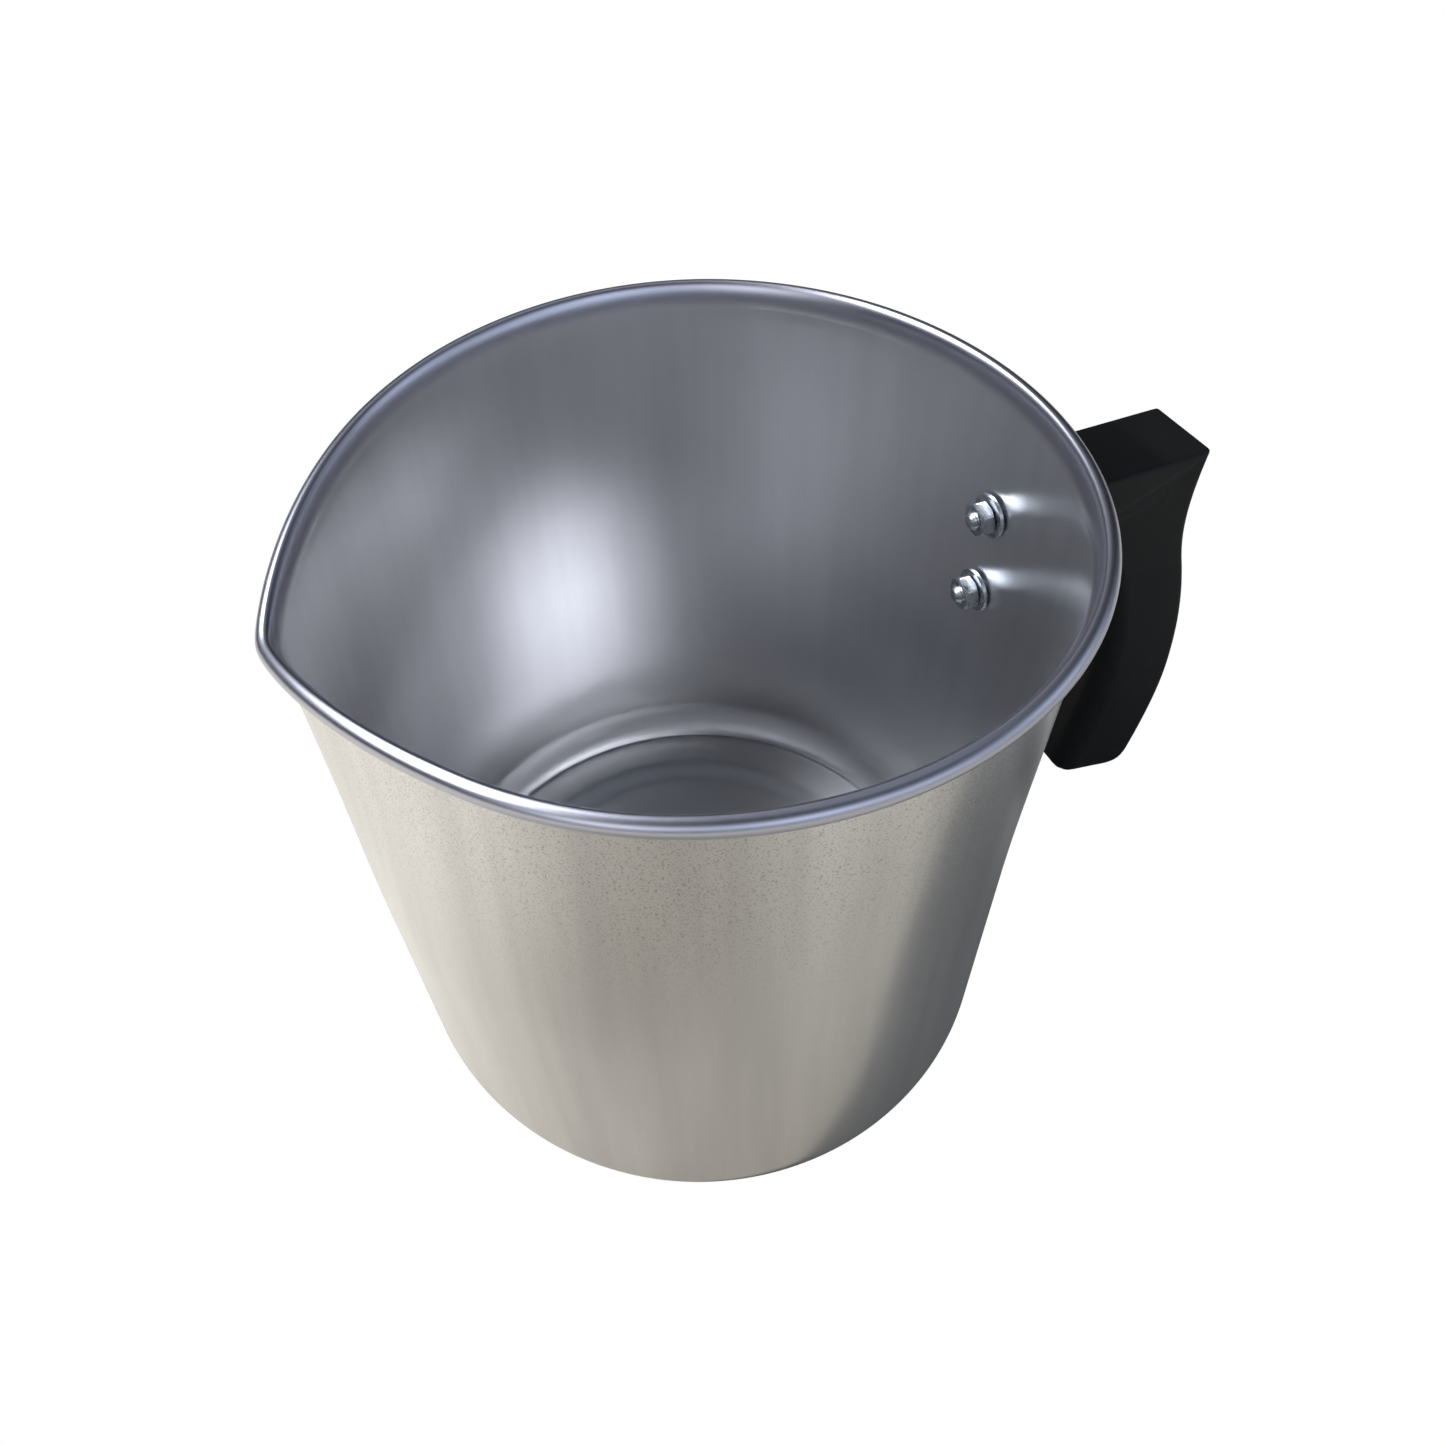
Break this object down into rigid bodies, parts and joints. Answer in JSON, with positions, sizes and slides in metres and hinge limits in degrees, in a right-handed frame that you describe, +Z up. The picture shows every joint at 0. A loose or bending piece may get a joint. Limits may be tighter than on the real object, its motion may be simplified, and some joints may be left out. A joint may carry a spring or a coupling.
{
  "type": "candle melting pot",
  "caption": "Open metal pouring pot with a curled rim, a pinched pouring beak and a moulded hanging grip, for melting and pouring candle wax.",
  "frame": {"origin": "on the pot's vertical axis, in the plane of the foot ring it stands on", "axes": "+Z up along the pot's axis, +X towards the handle, -X towards the pouring beak"},
  "size_m": [0.2043, 0.1574, 0.1471],
  "materials": {
    "pot_aluminium": "satin drawn aluminium with a polished rolled rim",
    "handle_phenolic": "semi-matt moulded phenolic",
    "zinc_plated_steel": "bright zinc plate"
  },
  "bodies": {
    "root": {"pot_shell": "pot_aluminium", "handle": "handle_phenolic", "stud_upper": "zinc_plated_steel", "nut_upper": "zinc_plated_steel", "flat_washer_upper": "zinc_plated_steel", "stud_lower": "zinc_plated_steel", "nut_lower": "zinc_plated_steel", "flat_washer_lower": "zinc_plated_steel"}
  },
  "joints": []
}
